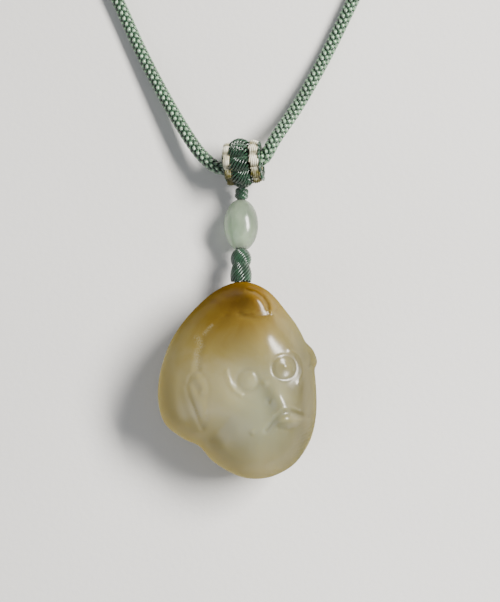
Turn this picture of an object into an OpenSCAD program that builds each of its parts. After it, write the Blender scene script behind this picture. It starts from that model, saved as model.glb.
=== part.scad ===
/* [Head] */
// Width of the carved head, ear to back
head_w = 27.9; // [24:0.1:34]
// Length of the carved head, chin to crown
head_l = 34.5; // [30:0.1:42]
// Thickness of the carved head, back to muzzle
head_t = 18; // [16:0.5:20]
// How full the front is between the face and the edge, 2 being an ellipse
front_fullness = 2.25; // [2:0.05:2.8]
// How full the back is between its flat seat and the edge
back_fullness = 2.3; // [2:0.05:2.8]
// Facets round the head
head_facets = 100; // [48:4:104]
// Rings of facets between the middle of the face and the edge
front_rings = 32; // [16:2:34]
// Rings of facets between the edge and the back's flat seat
back_rings = 8; // [4:1:12]

/* [Hanging line] */
// Sideways place of the hanging line
line_x = 0.6; // [-0.5:0.1:1.5]
// Thickness of the thread in the bead
thread_d = 1.4; // [1:0.1:1.5]
// Thickness of each leg of the thread in the stone
leg_d = 0.8; // [0.6:0.1:0.8]
// Distance between the two holes in the crown
hole_pitch = 1.6; // [1.5:0.1:1.8]
// Depth of the point where the two holes meet
hole_depth = 4; // [3:0.2:5]
// Width of the knot above the crown
knot_d = 4.3; // [3.4:0.1:4.4]
// Length of the rice bead
bead_l = 9.2; // [8:0.1:9.4]
// Width of the rice bead
bead_d = 6.2; // [5:0.1:6.4]
// Place of the bead's middle along the line
bead_y = 15.3; // [15:0.1:15.4]
// Width of the small knot above the bead
collar_d = 2.5; // [2.2:0.1:3]

/* [Bail] */
// Height of the woven bail, across its rolls
bail_d = 9.1; // [8.4:0.1:9.2]
// Place of the bail's middle along the line
bail_y = 26.3; // [25.8:0.1:26.6]
// Sideways place of the bail's middle
bail_x = 0.8; // [0.6:0.1:1.4]
// Turn of the bail as it lies on the cord
bail_turn = 5; // [2:1:10]
// Lean of the bail to its left side
bail_lean = 8; // [0:1:8]
// Bore of the bail, which the neck cord runs through
bail_bore_d = 4.2; // [4:0.1:4.4]
// Width of the green column in the middle
centre_w = 3.2; // [2.8:0.1:3.6]
// Width of each pale column
side_w = 1.7; // [1.6:0.1:2.1]
// Width of each green rim
rim_w = 0.3; // [0.3:0.1:0.5]
// Rolls round the bail
bail_rolls = 9; // [8:1:10]

/* [Neck cord] */
// Thickness of the round braided cord
cord_d = 2.3; // [2:0.1:2.4]
// Rings of facets for each stretch of the cord's route
cord_steps = 2; // [1:1:3]
// Width of the knot that closes the loop
closing_d = 5; // [4.4:0.1:6]
// Length of the knot that closes the loop
closing_l = 10; // [9:0.5:11]

/* [Hidden] */
round_fn = 48;
// Room left between pieces that follow one another, and where the line bends
gap = 0.12;
kink_gap = 0.3;
// Room round each end of the cord in its socket
socket_gap = 0.2;
cord_sides = 8;
cord_r = cord_d / 2;
bail_r = bail_d / 2;

// The size at which the head's tables are written: width, length, thickness
HEAD_TABLE = [27.9, 34.5, 18];
// Where the rings of the back end, inside its flat seat
seat_reach = 0.3;
// What stays put when the head is resized: the middle of the crown
crown = [line_x, 4.75, 5.8];
// The point of the face that the facets gather round
face_x = 5.2;
face_y = -14.6;
// How closely the rings gather there
face_detail = 1.3;
// Height of the plain pebble there, under the carving
brow_z = 16.4;
// How far the back would bulge past its seat, which cuts it flat
seat_cut = 1.6;

// Edge of the head seen from the front, a row for each section round it
// columns: across, along, height of the edge above the seat
EDGE = [
    [   0.7,   4.75,  5.8],
    [  -3.9,    3.1,    6],
    [  -8.4,     -1,  6.4],
    [ -11.6,   -5.6,    7],
    [ -13.5,    -11,  7.5],
    [ -13.9,  -16.2,  7.6],
    [ -12.7,  -20.3,  7.4],
    [  -9.6,  -22.9,  6.8],
    [  -6.7,  -24.3,  6.6],
    [  -4.2,    -27,  6.6],
    [     0,  -29.4,  6.8],
    [   3.4, -29.95,    7],
    [   6.7,  -29.3,  7.1],
    [  10.1,  -27.2,  7.2],
    [  12.6,  -23.4,  7.4],
    [  13.7,  -19.4,  7.6],
    [ 13.85,  -15.2,  7.7],
    [  13.4,  -10.4,  7.7],
    [  12.3,     -7,  7.4],
    [  10.9,  -3.85,  6.9],
    [     9,  -1.05,  6.6],
    [  5.25,    3.2,    6]
];

// The right ear, which stands out of the edge: across, along, half width, reach
RIGHT_EAR = [13.1, -8.3, 2.1, 0.9];

// Round forms of the carving, raised or, with a minus, hollowed
// columns: across, along, half length, half width, turn, height
MOUNDS = [
    [  4.6,  -5.6, 6.6, 4.6,   8,  1.1],  // forehead
    [  3.0,   2.3, 3.4, 2.2, -24,  3.4],  // tuft of hair
    [  1.4, -12.7, 3.4, 2.6,   8, -0.75], // left eye socket
    [  8.4, -10.9, 3.3, 2.8,   8, -0.65], // right eye socket
    [  1.8, -12.8, 1.6, 1.5,   0,  0.5],  // left eyeball
    [    8, -10.7, 1.7, 1.8,   0,  0.65], // right eyeball
    [  7.2, -15.8, 3.1, 1.7, -60,    1],  // nose
    [  7.0, -20.4, 6.4, 4.8,  10,  1.3],  // muzzle
    [  8.5, -19.5, 2.1, 1.0,  -6,  0.8],  // lower lip
    [ -1.6, -16.6, 3.0, 4.4,  20,  0.4],  // left cheek
    [ -6.5, -15.6, 5.0, 1.7, -78,  0.5],  // left ear
    [ -6.7, -14.4, 1.9, 0.8, -58, -0.5]   // hollow of the left ear
];

// Ring grooves round the eyeballs
// columns: across, along, reach across and along, half width, height
RINGS = [
    [1.8, -12.8, 1.8, 1.7, 0.4, -0.12],
    [  8, -10.7,   2, 2.1, 0.4, -0.18]
];

// Grooves and ridges, a row for each: half width, height, route across and along
CUTS = [
    // mouth
    [0.5, -0.3, [[5, -21.3], [5.8, -20.2], [6.7, -19.2], [7.9, -18.4], [9, -18.1], [10.3, -18.6],
        [12, -19]]],
    // jaw
    [1.2, -0.1, [[0.8, -16.2], [-1.5, -18], [-1.8, -21.4], [-0.6, -24.6], [2.6, -27], [7, -27.4]]],
    // hairline
    [0.6, -0.22, [[-1.9, -1.8], [-3.4, -2.9], [-4.9, -4.1], [-5.7, -5.1], [-6.2, -7], [-6.7, -9],
        [-6.8, -10.6]]],
    // foot of the tuft
    [0.5, -0.3, [[6.4, -0.6], [5.2, -1.7], [2.9, -2], [0.4, -1.5]]],
    // side of the face
    [0.6, -0.25, [[6.8, -0.9], [8.6, -2.6], [10.4, -5.2], [11.6, -7.8], [12.3, -11], [12.8, -15],
        [12.6, -21]]],
    // edge of the left ear
    [0.45, -0.2, [[-6.6, -10.9], [-7.9, -12], [-8.6, -13.7], [-8.2, -15.6], [-7.3, -17.8], [-6, -21]]],
    // front of the left ear
    [0.45, -0.1, [[-6.4, -11.4], [-5.2, -12.6], [-4.8, -14.4], [-5.1, -17], [-5.2, -19.4], [-5.9, -21]]]
];

// Route of the neck cord, from one end in the closing knot to the other
// columns: across, along, height of its middle
CORD_ROUTE = [
    [-3.2, 262, 2.5], [-9, 262, 2.5], [-18, 261.6, 1.9], [-32, 259, 1.1], [-50, 252, 1.1],
    [-67, 240, 1.1], [-79, 223, 1.1], [-85, 201, 1.1], [-83, 178, 1.1], [-76, 155, 1.1],
    [-64, 133, 1.1], [-51, 113, 1.1], [-40, 94, 1.1], [-31, 76, 1.1], [-23, 59, 1.1],
    [-18, 48, 1.3], [-13.4, 39, 2], [-9.1, 31.6, 3], [-6.2, 27.6, 3.8], [-3.1, 25.5, 4.25],
    [0.8, 26.1, 4.75], [4.5, 27, 5.3], [6.9, 31, 4.6], [11.2, 37.8, 2.4], [16.2, 47, 1.3],
    [22, 59, 1.1], [30, 76, 1.1], [39, 94, 1.1], [50, 113, 1.1], [63, 133, 1.1],
    [75, 155, 1.1], [82, 178, 1.1], [84, 201, 1.1], [78, 223, 1.1], [66, 240, 1.1],
    [49, 252, 1.1], [32, 259, 1.1], [18, 261.6, 1.9], [9, 262, 2.5], [3.2, 262, 2.5]
];

// Stations of the hanging line: over the crown, under and over the bead, inside the bail
bead_tilt = -6;
bead_mid = [line_x, bead_y, bead_d / 2 + 0.05];
bead_half = (bead_l / 2 + gap) * [0, cos(bead_tilt), sin(bead_tilt)];
at_crown = crown + [0, 0.4, 0];
under_bead = bead_mid - bead_half;
over_bead = bead_mid + bead_half;
// The bail stands a little higher for its lean
bail_mid = [bail_x, bail_y, bail_r + 0.25];
at_bail = bail_mid + [0.3, 0, 0];

// How far over the crown the lower knot starts, so that it clears the curved stone
knot_rise = 0.2;
knot_l = norm(under_bead - at_crown) - kink_gap - knot_rise;
// How far the wraps swell out of the knots, the small knot and the closing knot
KNOT_SWELL = 0.45;
COLLAR_SWELL = 0.25;
CLOSING_SWELL = 0.4;
collar_l = norm(bail_mid - over_bead) - bail_r - kink_gap - 2 * gap;
// Height over the crown at which the thread parts into its two legs
leg_top = 1.8;
// Depth under the crown at which the legs turn towards each other
leg_turn = 0.3;
leg_spread = hole_pitch / 2;
leg_r = leg_d / 2;
thread_r = thread_d / 2;
// Extra radius of the round joints, so that no joint is flush with its rods
joint_proud = 0.06;
// Extra radius of the holes in the crown, and of their mouths
hole_room = 0.1;
mouth_room = 0.3;
// How far the thread reaches into the bail
thread_reach = 1.2;
// How far each end of the cord's socket reaches into the closing knot
socket_depth = 2;
// How far a bore or a socket is cut past the end of its piece
past = 1;

// Radii of the bail's rolls, and how far its pale columns and its rims lie inside the green one
centre_roll_r = 1.15;
side_roll_r = 1.08;
rim_roll_r = 1;
side_low = 0.6;
rim_low = 1;
// Turn of the first roll of each column
centre_first = 32;
left_first = 20;
right_first = 26;
left_rim_first = 40;
right_rim_first = 14;

// A point part of the way along a smooth curve between b and c
function curve(a, b, c, d, t) =
    b + t * ((c - a) / 2 + t * ((2 * a - 5 * b + 4 * c - d) / 2 + t * (3 * b - a - 3 * c + d) / 2));

// A point on a closed smooth curve through the rows, with place from 0 to 1
function on_ring(rows, place) =
    let (n = len(rows), s = place * n, i = floor(s))
    curve(rows[(i + n - 1) % n], rows[i % n], rows[(i + 1) % n], rows[(i + 2) % n], s - i);

// A point on an open smooth curve through the rows, with s counted in rows
function on_route(rows, s) =
    let (last = len(rows) - 1, i = min(floor(s), last - 1))
    curve(rows[max(i - 1, 0)], rows[i], rows[i + 1], rows[min(i + 2, last)], s - i);

// How far a point lies from the stretch between two points
function from_stretch(p, a, b) =
    let (t = max(0, min(1, (p - a) * (b - a) / ((b - a) * (b - a)))))
    norm(p - a - t * (b - a));

function from_cut(p, route) = min([for (i = [0 : len(route) - 2]) from_stretch(p, route[i], route[i + 1])]);

function bell(d) = exp(-d * d);

function mound_height(p, m) =
    let (
        x = p[0] - m[0],
        y = p[1] - m[1],
        u = (x * cos(m[4]) + y * sin(m[4])) / m[2],
        v = (y * cos(m[4]) - x * sin(m[4])) / m[3]
    )
    m[5] * bell(norm([u, v]));

function ring_height(p, r) =
    let (
        far = norm([(p[0] - r[0]) / r[2], (p[1] - r[1]) / r[3]]),
        across = (far - 1) * (r[2] + r[3]) / 2
    )
    r[5] * bell(across / r[4]);

// Height of the carving over the plain pebble at a point of the front
function carving(p) =
    [for (m = MOUNDS) mound_height(p, m)] * [for (m = MOUNDS) 1]
    + [for (r = RINGS) ring_height(p, r)] * [for (r = RINGS) 1]
    + [for (c = CUTS) c[1] * bell(from_cut(p, c[2]) / c[0])] * [for (c = CUTS) 1];

// A place part of the way from the middle of the face to a point of the edge
function outward(edge, reach) = [face_x + (edge[0] - face_x) * reach, face_y + (edge[1] - face_y) * reach];

// A place pushed out where the right ear stands, less with the distance from the edge's height
function eared(p, above) =
    let (
        far = norm(p - [RIGHT_EAR[0], RIGHT_EAR[1]]) / RIGHT_EAR[2],
        push = RIGHT_EAR[3] * bell(far * far) * bell(above / 4)
    )
    [p[0] + push, p[1]];

// A point of the front: out is 0 at the face's middle and 1 at the edge
function front_point(edge, out) =
    let (
        theta = 90 * out,
        rise = pow(cos(theta), 2 / front_fullness),
        p = outward(edge, pow(sin(theta), 2 / front_fullness)),
        z = edge[2] + (brow_z - edge[2]) * rise
    )
    concat(eared(p, z - edge[2]), z + carving(p) * rise);

// A point of the back: out is 1 at the edge and 0 in the middle of the seat
function back_point(edge, out) =
    let (
        theta = 90 * out,
        rise = pow(cos(theta), 2 / back_fullness),
        p = outward(edge, pow(sin(theta), 2 / back_fullness)),
        z = max(0, edge[2] - (edge[2] + seat_cut) * rise)
    )
    concat(eared(p, edge[2] - z), z);

function resized(p) = [for (i = [0 : 2]) i == 2
    ? p[2] * head_t / HEAD_TABLE[2]
    : crown[i] + (p[i] - crown[i]) * [head_w, head_l][i] / HEAD_TABLE[i]];

// The carved pebble, in rings from the middle of the face over the edge to the seat
module carved_head() {
    edges = [for (i = [0 : head_facets - 1]) on_ring(EDGE, i / head_facets)];
    outs = [for (k = [1 : front_rings]) pow(k / front_rings, face_detail)];
    backs = [for (k = [1 : back_rings]) 1 - (1 - seat_reach) * k / back_rings];
    top = resized([face_x, face_y, brow_z + carving([face_x, face_y])]);
    rings = concat(
        [for (o = outs) [for (e = edges) resized(front_point(e, o))]],
        [for (o = backs) [for (e = edges) resized(back_point(e, o))]]
    );
    seat = resized([face_x, face_y, 0]);
    points = concat([top], [for (r = rings) each r], [seat]);
    n = head_facets;
    last = len(points) - 1;
    faces = concat(
        [for (i = [0 : n - 1]) [0, 1 + (i + 1) % n, 1 + i]],
        [for (k = [0 : len(rings) - 2], i = [0 : n - 1])
            let (a = 1 + k * n, j = (i + 1) % n) each [
                [a + i, a + j, a + n + j],
                [a + i, a + n + j, a + n + i]
            ]],
        [for (i = [0 : n - 1]) let (a = last - n) [a + i, a + (i + 1) % n, last]]
    );
    polyhedron(points, faces, convexity = 6);
}

// Stands the children's Z axis on the line from p to q, with their X axis across it
module from_to(p, q) {
    way = q - p;
    translate(p) rotate([0, acos(way[2] / norm(way)), atan2(way[1], way[0])]) rotate(-90) children();
}

// A rod between two points of the XZ plane
module rod(a, b, r) {
    translate([a[0], 0, a[1]])
        rotate([0, atan2(b[0] - a[0], b[1] - a[1]), 0])
            cylinder(h = norm(b - a), r = r, $fn = round_fn);
}

// The two legs of the thread, or the two holes that they run in
module legs(r, joint_r) {
    for (side = [-1, 1]) {
        rod([0, -hole_depth], [side * leg_spread, -leg_turn], r);
        translate([side * leg_spread, 0, -leg_turn]) sphere(r = joint_r, $fn = round_fn);
    }
    translate([0, 0, -hole_depth]) sphere(r = r + joint_proud, $fn = round_fn);
}

// A round body of stacked wraps with a bore, standing on Z
module wrapped(l, r, wraps, swell, bore_r) {
    steps = 8;
    body = [for (i = [0 : wraps * steps])
        let (t = i / (wraps * steps), bump = abs(sin(180 * t * wraps)))
        [r - swell * (1 - pow(bump, 0.7)), l * t]];
    rotate_extrude($fn = round_fn)
        polygon(concat([[bore_r, 0]], body, [[bore_r, l]]));
}

// One column of the bail: rolls round a bore that runs along X
module bail_column(x, w, r, roll_r, turn) {
    translate(bail_mid) rotate([0, -bail_lean, bail_turn]) translate([x, 0, 0]) rotate([0, 90, 0])
        linear_extrude(height = w) difference() {
            union() {
                circle(r = r - roll_r * 0.75, $fn = round_fn);
                for (i = [0 : bail_rolls - 1])
                    rotate(turn + 360 * i / bail_rolls)
                        translate([r - roll_r, 0]) circle(r = roll_r, $fn = round_fn);
            }
            circle(d = bail_bore_d, $fn = round_fn);
        }
}

module jade_monkey() {
    color("#a8a078") difference() {
        carved_head();
        from_to(at_crown, under_bead) {
            legs(leg_r + hole_room, leg_r + mouth_room);
            for (side = [-1, 1])
                rod([side * leg_spread, -leg_turn], [side * leg_spread, leg_top], leg_r + mouth_room);
        }
    }
}

module hanging_thread() {
    joint_r = thread_r + joint_proud;
    color("#31573c") {
        from_to(at_crown, under_bead) {
            legs(leg_r, leg_r + joint_proud);
            for (side = [-1, 1])
                rod([side * leg_spread, -leg_turn], [0, leg_top], leg_r);
            translate([0, 0, leg_top]) sphere(r = joint_r, $fn = round_fn);
            translate([0, 0, leg_top])
                cylinder(h = norm(under_bead - at_crown) - leg_top, r = thread_r, $fn = round_fn);
        }
        from_to(under_bead, over_bead) {
            sphere(r = joint_r, $fn = round_fn);
            cylinder(h = norm(over_bead - under_bead), r = thread_r, $fn = round_fn);
        }
        from_to(over_bead, at_bail) {
            sphere(r = joint_r, $fn = round_fn);
            cylinder(h = norm(at_bail - over_bead) - bail_r + thread_reach, r = thread_r, $fn = round_fn);
        }
    }
}

module lower_knot() {
    lobe_l = knot_l / 2;
    color("#2f5a3a") from_to(at_crown, under_bead) difference() {
        for (i = [0, 1])
            translate([0, 0, knot_rise + lobe_l * i]) wrapped(lobe_l, knot_d / 2, 1, KNOT_SWELL, thread_r);
        translate([0, 0, -past])
            cylinder(h = knot_l + knot_rise + 2 * past, r = thread_r + gap, $fn = round_fn);
        translate([0, 0, -0.01])
            cylinder(h = leg_top + leg_r, r1 = leg_spread + leg_r + gap, r2 = thread_r + gap, $fn = round_fn);
    }
}

module jade_bead() {
    steps = 28;
    end_angle = 74;
    half = bead_l / 2 / sin(end_angle);
    side = [for (i = [-steps / 2 : steps / 2])
        let (a = end_angle * 2 * i / steps) [bead_d / 2 * cos(a), bead_l / 2 + half * sin(a)]];
    bore_r = thread_r + gap;
    color("#c9d8c4") from_to(under_bead, over_bead) translate([0, 0, gap])
        rotate_extrude($fn = round_fn)
            polygon(concat([[bore_r, 0]], side, [[bore_r, bead_l]]));
}

module collar_knot() {
    color("#3b6547") from_to(over_bead, at_bail) translate([0, 0, kink_gap])
        wrapped(collar_l, collar_d / 2, 3, COLLAR_SWELL, thread_r + gap);
}

module bail_centre() {
    color("#2f5a3a") difference() {
        bail_column(-centre_w / 2 + gap / 2, centre_w - gap, bail_r, centre_roll_r, centre_first);
        from_to(over_bead, at_bail) translate([0, 0, norm(at_bail - over_bead) - bail_r - past])
            cylinder(h = past + thread_reach + gap, r = thread_r + gap, $fn = round_fn);
    }
}

module bail_left() {
    x = -centre_w / 2 - side_w + gap / 2;
    color("#d9d7c4") bail_column(x, side_w - gap, bail_r - side_low, side_roll_r, left_first);
}

module bail_right() {
    x = centre_w / 2 + gap / 2;
    color("#d9d7c4") bail_column(x, side_w - gap, bail_r - side_low, side_roll_r, right_first);
}

module bail_rim_left() {
    x = -centre_w / 2 - side_w - rim_w + gap / 2;
    color("#2f5a3a") bail_column(x, rim_w - gap / 2, bail_r - rim_low, rim_roll_r, left_rim_first);
}

module bail_rim_right() {
    x = centre_w / 2 + side_w;
    color("#2f5a3a") bail_column(x, rim_w - gap / 2, bail_r - rim_low, rim_roll_r, right_rim_first);
}

// The braided cord as one tube swept along its route, never lower than it can lie
module neck_cord() {
    spans = len(CORD_ROUTE) - 1;
    count = spans * cord_steps + 1;
    middles = [for (i = [0 : count - 1])
        let (p = on_route(CORD_ROUTE, i / cord_steps)) [p[0], p[1], max(cord_r, p[2])]];
    rings = [for (i = [0 : count - 1])
        let (
            ahead = middles[min(i + 1, count - 1)] - middles[max(i - 1, 0)],
            along = ahead / norm(ahead),
            across = cross(along, [0, 0, 1]) / norm(cross(along, [0, 0, 1])),
            up = cross(across, along)
        )
        [for (k = [0 : cord_sides - 1])
            let (a = 360 * k / cord_sides) middles[i] + cord_r * (across * cos(a) + up * sin(a))]];
    n = cord_sides;
    last = (count - 1) * n;
    color("#5f7f63") polyhedron(
        [for (r = rings) each r],
        concat(
            [[for (k = [0 : n - 1]) k]],
            [for (i = [0 : count - 2], k = [0 : n - 1])
                let (a = i * n, j = (k + 1) % n) each [
                    [a + k, a + n + k, a + n + j],
                    [a + k, a + n + j, a + j]
                ]],
            [[for (k = [n - 1 : -1 : 0]) last + k]]
        ),
        convexity = 6
    );
}

// The knot that closes the loop, with a socket for each end of the cord
module closing_knot() {
    end = CORD_ROUTE[0];
    color("#5f7f63") translate([-closing_l / 2, end[1], closing_d / 2]) rotate([0, 90, 0])
        difference() {
            wrapped(closing_l, closing_d / 2, 5, CLOSING_SWELL, 0);
            for (z = [-past, closing_l - socket_depth])
                translate([0, 0, z])
                    cylinder(h = socket_depth + past, r = cord_r + socket_gap, $fn = round_fn);
        }
}

jade_monkey();
hanging_thread();
lower_knot();
jade_bead();
collar_knot();
bail_centre();
bail_left();
bail_right();
bail_rim_left();
bail_rim_right();
neck_cord();
closing_knot();
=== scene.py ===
import math

import bmesh
import bpy
import numpy as np
from mathutils import Matrix, Vector


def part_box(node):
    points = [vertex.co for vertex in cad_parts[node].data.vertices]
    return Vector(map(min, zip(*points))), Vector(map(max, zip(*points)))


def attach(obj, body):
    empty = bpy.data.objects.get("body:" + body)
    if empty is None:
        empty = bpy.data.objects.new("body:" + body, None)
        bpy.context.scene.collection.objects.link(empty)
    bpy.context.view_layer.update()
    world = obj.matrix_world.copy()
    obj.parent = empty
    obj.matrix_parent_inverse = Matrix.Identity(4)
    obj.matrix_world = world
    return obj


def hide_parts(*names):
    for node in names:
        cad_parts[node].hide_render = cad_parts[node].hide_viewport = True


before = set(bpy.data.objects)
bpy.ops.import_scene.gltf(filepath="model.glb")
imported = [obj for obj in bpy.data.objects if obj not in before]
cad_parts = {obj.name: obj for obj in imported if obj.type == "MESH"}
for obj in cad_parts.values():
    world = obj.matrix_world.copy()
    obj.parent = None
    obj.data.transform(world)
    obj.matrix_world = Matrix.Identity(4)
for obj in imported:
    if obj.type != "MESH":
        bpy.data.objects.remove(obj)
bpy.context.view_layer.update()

# Floor, light and camera: the pendant lies on a plain pale floor and is seen from almost
# straight above, a little from its chin. A soft box stands up to the right and back, where
# the long highlight on the bead puts it, and a fainter, wider one fills in from the left.
mm = 0.001
view_elevation = math.radians(86)
view_distance = 0.221
view_lens = 74
view_middle = Vector((2.2, 1.4, 5.0)) * mm
floor_size = 3.0
floor_pale = (0.80, 0.79, 0.77, 1)
floor_shade = (0.70, 0.69, 0.67, 1)
# columns: name, place, side lengths, power, colour
lights = [
    ("key_light", (0.40, 0.15, 0.40), (0.38, 0.15), 11.6, (1.0, 0.97, 0.92)),
    ("fill_light", (-0.45, -0.30, 0.45), (0.50, 0.50), 1.7, (0.93, 0.96, 1.0)),
]
sky_colour = (0.80, 0.84, 0.90, 1)
sky_strength = 0.21


def add_node(tree, kind, **inputs):
    """Adds a node, with its inputs set by name, spaces written as low lines."""
    node = tree.nodes.new("ShaderNode" + kind)
    for name, value in inputs.items():
        node.inputs[name.replace("_", " ")].default_value = value
    return node


def new_finish(name, **constants):
    """A material whose shader has these constants, with its tree and shader."""
    finish = bpy.data.materials.new(name)
    finish.use_nodes = True
    tree = finish.node_tree
    shader = tree.nodes["Principled BSDF"]
    for key, value in constants.items():
        shader.inputs[key.replace("_", " ")].default_value = value
    return finish, tree, shader


def add_ramp(tree, factor, stops):
    """A colour ramp over a factor, from rows of place and colour."""
    ramp = tree.nodes.new("ShaderNodeValToRGB")
    while len(ramp.color_ramp.elements) < len(stops):
        ramp.color_ramp.elements.new(0.5)
    for element, (place, colour) in zip(ramp.color_ramp.elements, stops):
        element.position = place
        element.color = colour
    tree.links.new(factor, ramp.inputs["Fac"])
    return ramp.outputs["Color"]


def add_blend(tree, factor, under, over):
    """A mix of a colour, or a colour's output, with another one over it."""
    blend = tree.nodes.new("ShaderNodeMix")
    blend.data_type = "RGBA"
    sockets = [s for s in blend.inputs if s.type == "RGBA"]
    for socket, colour in zip(sockets, (under, over)):
        if isinstance(colour, tuple):
            socket.default_value = colour
        else:
            tree.links.new(colour, socket)
    tree.links.new(factor, blend.inputs[0])
    return [s for s in blend.outputs if s.type == "RGBA"][0]


def add_bump(tree, shader, height, strength, distance):
    """Sends a height to the shader's normal as a bump."""
    bump = add_node(tree, "Bump", Strength=strength, Distance=distance)
    tree.links.new(height, bump.inputs["Height"])
    tree.links.new(bump.outputs["Normal"], shader.inputs["Normal"])


floor_finish, tree, shader = new_finish("pale_floor", Roughness=0.9)
spot = add_node(tree, "TexCoord")
cloud = add_node(tree, "TexNoise", Scale=6.0, Detail=3.0)
tree.links.new(spot.outputs["Object"], cloud.inputs["Vector"])
shade = add_ramp(tree, cloud.outputs["Fac"], [(0.35, floor_shade), (0.65, floor_pale)])
tree.links.new(shade, shader.inputs["Base Color"])
grain = add_node(tree, "TexNoise", Scale=900.0, Detail=2.0)
tree.links.new(spot.outputs["Object"], grain.inputs["Vector"])
add_bump(tree, shader, grain.outputs["Fac"], strength=0.15, distance=0.3 * mm)

bm = bmesh.new()
bmesh.ops.create_grid(bm, x_segments=1, y_segments=1, size=floor_size / 2)
floor_mesh = bpy.data.meshes.new("floor")
bm.to_mesh(floor_mesh)
bm.free()
floor_mesh.materials.append(floor_finish)
floor = bpy.data.objects.new("floor", floor_mesh)
bpy.context.collection.objects.link(floor)

sky = bpy.data.worlds.new("studio")
sky.use_nodes = True
sky.node_tree.nodes["Background"].inputs["Color"].default_value = sky_colour
sky.node_tree.nodes["Background"].inputs["Strength"].default_value = sky_strength
bpy.context.scene.world = sky

for name, place, sides, power, colour in lights:
    lamp = bpy.data.lights.new(name, "AREA")
    lamp.shape = "RECTANGLE"
    lamp.size, lamp.size_y = sides
    lamp.energy = power
    lamp.color = colour
    stand = bpy.data.objects.new(name, lamp)
    stand.location = place
    stand.rotation_euler = (view_middle - Vector(place)).to_track_quat("-Z", "Y").to_euler()
    bpy.context.collection.objects.link(stand)

back = Vector((0, -math.cos(view_elevation), math.sin(view_elevation)))
camera = bpy.data.objects.new("camera", bpy.data.cameras.new("camera"))
camera.data.lens = view_lens
camera.data.sensor_width = 36
camera.data.clip_start = 0.01
camera.location = view_middle + back * view_distance
camera.rotation_euler = (-back).to_track_quat("-Z", "Y").to_euler()
bpy.context.collection.objects.link(camera)
bpy.context.scene.camera = camera

# Neck cord: a round braid of sixteen waxed polyester yarns over a dark core, in eight
# columns of slanting stitches, so that two bright rows show from any side. It is one
# closed loop through the bail, and both its ends are sewn into the closing knot.
crest_r = 1.26 * mm
core_r = 0.92 * mm
stitch_pitch = 1.12 * mm
stitch_long = 1.45 * mm
stitch_wide = 0.66 * mm
stitch_high = 0.72 * mm
stitch_lean = math.radians(24)
stitch_columns = 8
# How far the foot of a stitch goes into the core, as a share of its height
stitch_root = 0.05
route_steps = 10
# The least height of the cord's middle over the floor, as a share of the crests' radius
lie_share = 0.94
# The same stations as in the part's source: across, along, height of its middle
cord_stations = [
    (-0.0032, 0.262, 0.0025), (-0.009, 0.262, 0.0025), (-0.018, 0.2616, 0.0019),
    (-0.032, 0.259, 0.0011), (-0.050, 0.252, 0.0011), (-0.067, 0.240, 0.0011),
    (-0.079, 0.223, 0.0011), (-0.085, 0.201, 0.0011), (-0.083, 0.178, 0.0011),
    (-0.076, 0.155, 0.0011), (-0.064, 0.133, 0.0011), (-0.051, 0.113, 0.0011),
    (-0.040, 0.094, 0.0011), (-0.031, 0.076, 0.0011), (-0.023, 0.059, 0.0011),
    (-0.018, 0.048, 0.0013), (-0.0134, 0.039, 0.0020), (-0.0091, 0.0316, 0.0030),
    (-0.0062, 0.0276, 0.0038), (-0.0031, 0.0255, 0.00425), (0.0008, 0.0261, 0.00475),
    (0.0045, 0.0270, 0.0053), (0.0069, 0.0310, 0.0046), (0.0112, 0.0378, 0.0024),
    (0.0162, 0.047, 0.0013), (0.022, 0.059, 0.0011), (0.030, 0.076, 0.0011),
    (0.039, 0.094, 0.0011), (0.050, 0.113, 0.0011), (0.063, 0.133, 0.0011),
    (0.075, 0.155, 0.0011), (0.082, 0.178, 0.0011), (0.084, 0.201, 0.0011),
    (0.078, 0.223, 0.0011), (0.066, 0.240, 0.0011), (0.049, 0.252, 0.0011),
    (0.032, 0.259, 0.0011), (0.018, 0.2616, 0.0019), (0.009, 0.262, 0.0025),
    (0.0032, 0.262, 0.0025),
]
green_light = (0.017, 0.063, 0.030, 1)
green_deep = (0.005, 0.020, 0.010, 1)
green_painted_highlight = (0.280, 0.450, 0.270, 1)
braid_light = (0.055, 0.150, 0.075, 1)
# The core's own dark green, made near-black so that it also stands in as painted shade in the gaps
# between strands
core_green_and_shade = (0.003, 0.010, 0.005, 1)


def smooth_point(a, b, c, d, t):
    """A point part of the way along a smooth curve between b and c."""
    turn = (c - a) / 2 + t * ((2 * a - 5 * b + 4 * c - d) / 2 + t * (3 * b - a - 3 * c + d) / 2)
    return b + t * turn


def smooth_route(stations, steps):
    """Points along a smooth curve through the stations, never lower than it can lie."""
    rows = [Vector(s) for s in stations]
    last = len(rows) - 1
    points = []
    for i in range(last):
        for k in range(steps):
            near = (rows[max(i - 1, 0)], rows[i], rows[i + 1], rows[min(i + 2, last)])
            points.append(smooth_point(*near, k / steps))
    points.append(rows[-1])
    return [Vector((p.x, p.y, max(p.z, lie_share * crest_r))) for p in points]


def add_line(name, points, radius):
    """A round rod along the points, as a curve with one open spline."""
    data = bpy.data.curves.new(name, "CURVE")
    data.dimensions = "3D"
    data.twist_mode = "Z_UP"
    data.bevel_depth = radius
    data.bevel_resolution = 2
    data.use_fill_caps = True
    spline = data.splines.new("POLY")
    spline.points.add(len(points) - 1)
    for knot, place in zip(spline.points, points):
        knot.co = (*place, 1)
    line = bpy.data.objects.new(name, data)
    bpy.context.collection.objects.link(line)
    return line


def set_copies(bm, places):
    """Puts a copy of all that bm holds at each place, and takes the first one away."""
    first = bm.verts[:] + bm.edges[:] + bm.faces[:]
    for place in places:
        made = bmesh.ops.duplicate(bm, geom=first)["geom"]
        verts = [g for g in made if isinstance(g, bmesh.types.BMVert)]
        bmesh.ops.transform(bm, matrix=place, verts=verts)
    verts = [g for g in first if isinstance(g, bmesh.types.BMVert)]
    bmesh.ops.delete(bm, geom=verts, context="VERTS")


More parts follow.
